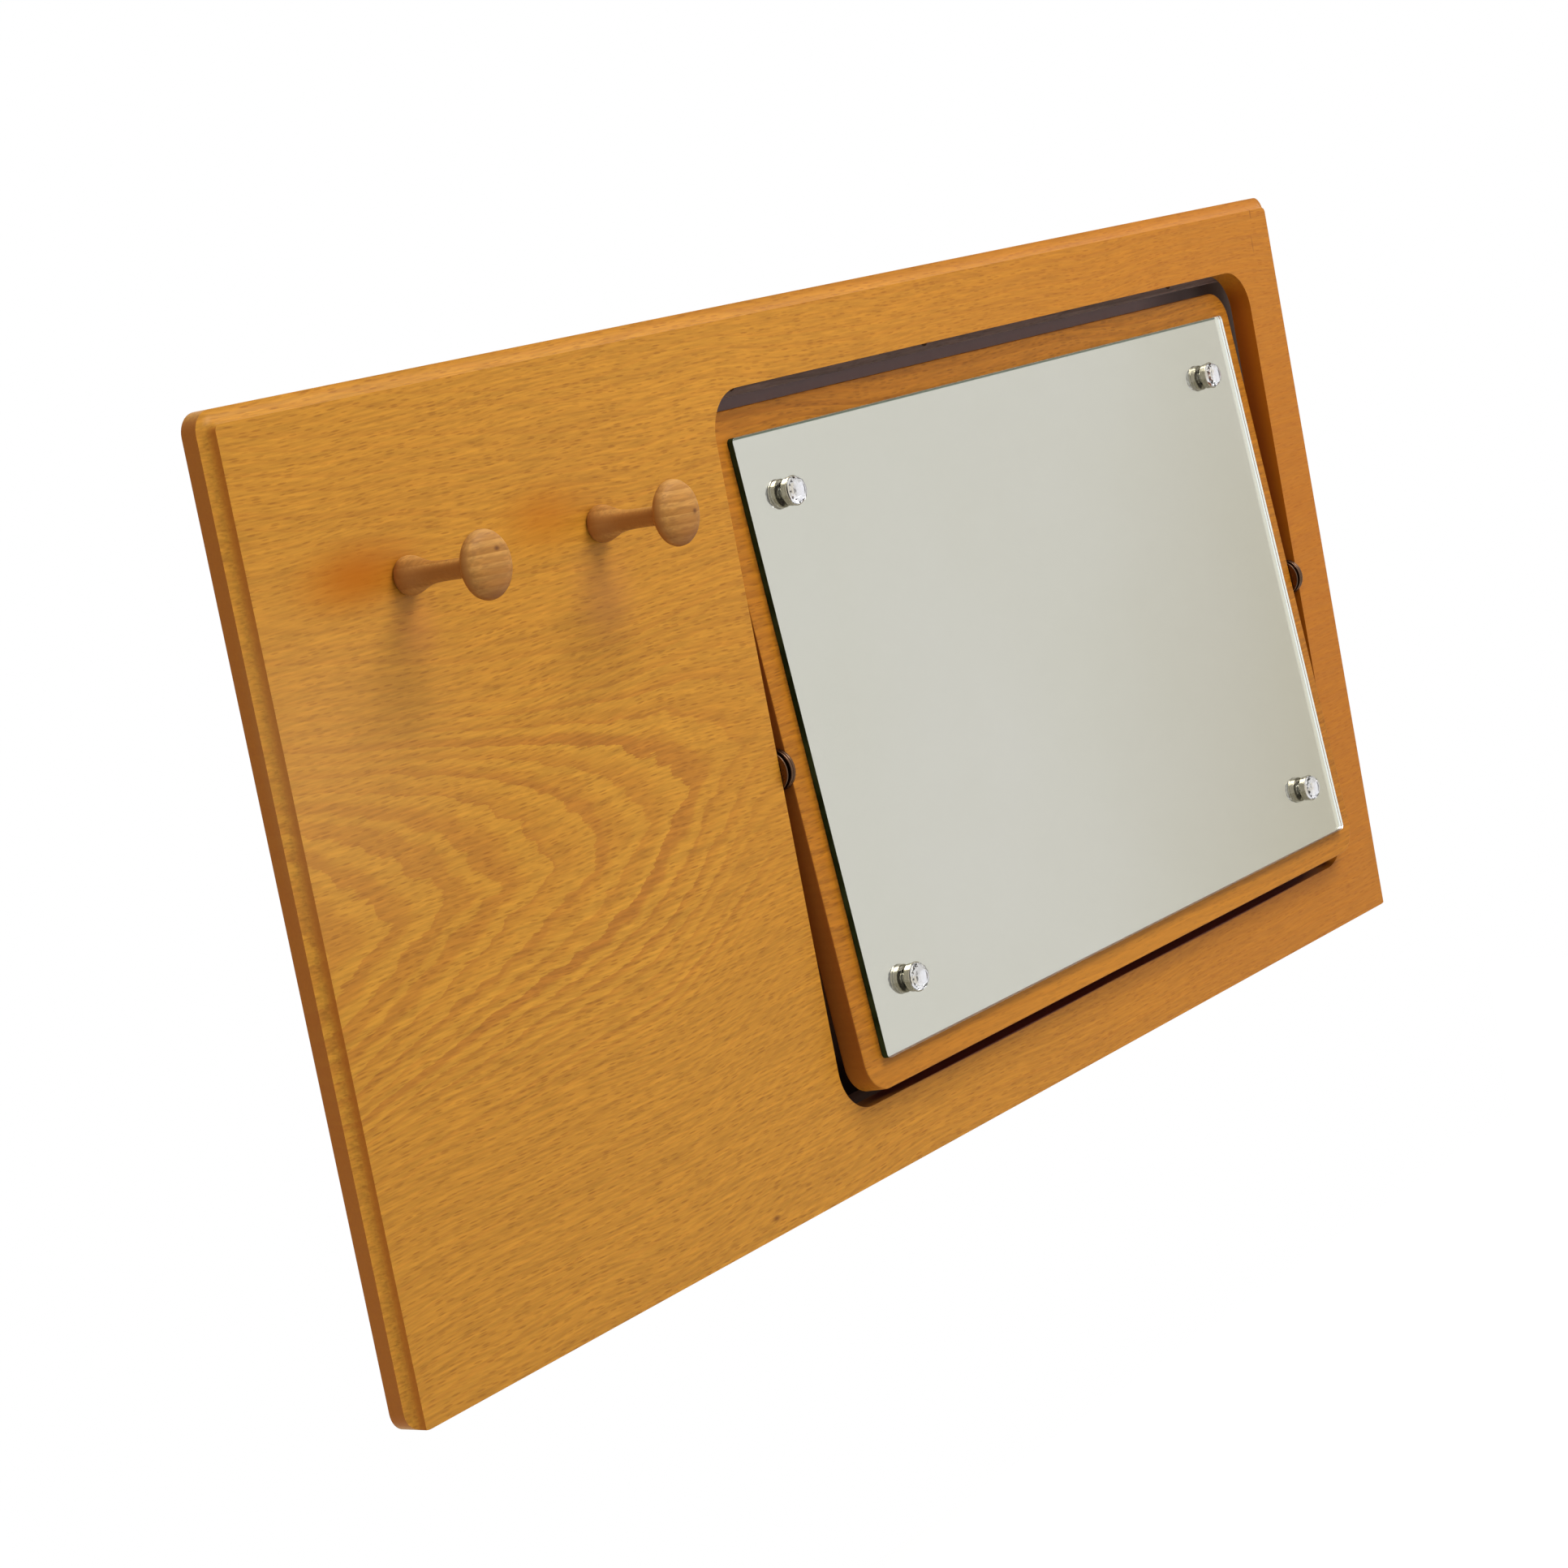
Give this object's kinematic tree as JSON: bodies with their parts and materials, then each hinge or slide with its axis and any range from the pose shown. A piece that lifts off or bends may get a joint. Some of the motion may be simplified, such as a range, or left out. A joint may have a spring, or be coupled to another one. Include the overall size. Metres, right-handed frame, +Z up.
{
  "type": "wall mirror with hooks",
  "caption": "Wooden wall board with turned pegs and a tilting mirror that swings on washers in a round-cornered opening.",
  "frame": {"origin": "middle of the wall rail's back face, on the wall plane", "axes": "+X along the board to the right as the viewer sees it, +Y into the wall, +Z up"},
  "size_m": [1.06, 0.0995, 0.5],
  "materials": {
    "lacquered_beech": "honey-coloured clear lacquer, satin gloss, long straight grain with short dark flecks",
    "stained_beech": "planed, stained dark",
    "turned_pegs": "turned smooth, thin matt oil, grey-tan with fine streaks",
    "mirror_glass": "silvered clear float glass with ground and polished green edges",
    "nickel": "satin nickel plate",
    "crystal": "clear, cut in facets and polished",
    "dark_steel": "blackened spring steel",
    "zinc_steel": "bright zinc plate",
    "bronze": "sintered bronze",
    "clear_plastic": "clear soft plastic"
  },
  "bodies": {
    "board": {"wall_board": "lacquered_beech", "hanging_rail": "stained_beech", "wall_rail": "stained_beech", "lower_rail": "stained_beech", "hanging_rail_screw_1": "zinc_steel", "hanging_rail_screw_2": "zinc_steel", "hanging_rail_screw_3": "zinc_steel", "hanging_rail_screw_4": "zinc_steel", "lower_rail_screw_1": "zinc_steel", "lower_rail_screw_2": "zinc_steel", "lower_rail_screw_3": "zinc_steel", "lower_rail_screw_4": "zinc_steel", "peg_left": "turned_pegs", "peg_screw_left": "zinc_steel", "peg_right": "turned_pegs", "peg_screw_right": "zinc_steel", "pivot_pin_left": "zinc_steel", "pivot_pin_right": "zinc_steel", "pivot_plug": "lacquered_beech", "edge_washer_left": "dark_steel", "disc_spring_left": "dark_steel", "middle_washer_left": "dark_steel", "disc_spring_right": "dark_steel", "middle_washer_right": "dark_steel", "face_washer_right": "dark_steel"},
    "mirror": {"mirror_panel": "lacquered_beech", "mirror_glass": "mirror_glass", "pivot_bush_left": "bronze", "pivot_bush_right": "bronze", "face_washer_left": "dark_steel", "edge_washer_right": "dark_steel", "mirror_screw_1": "zinc_steel", "glass_sleeve_1": "clear_plastic", "cap_collar_1": "nickel", "crystal_cap_1": "crystal", "mirror_screw_2": "zinc_steel", "glass_sleeve_2": "clear_plastic", "cap_collar_2": "nickel", "crystal_cap_2": "crystal", "mirror_screw_3": "zinc_steel", "glass_sleeve_3": "clear_plastic", "cap_collar_3": "nickel", "crystal_cap_3": "crystal", "mirror_screw_4": "zinc_steel", "glass_sleeve_4": "clear_plastic", "cap_collar_4": "nickel", "crystal_cap_4": "crystal"}
  },
  "joints": [
    {"name": "mirror_tilt", "type": "hinge", "parent": "board", "child": "mirror", "pos_m": [0.16825, -0.0325, -0.21408], "axis": [1, 0, 0], "range_deg": [-2.9, 11.1]}
  ]
}
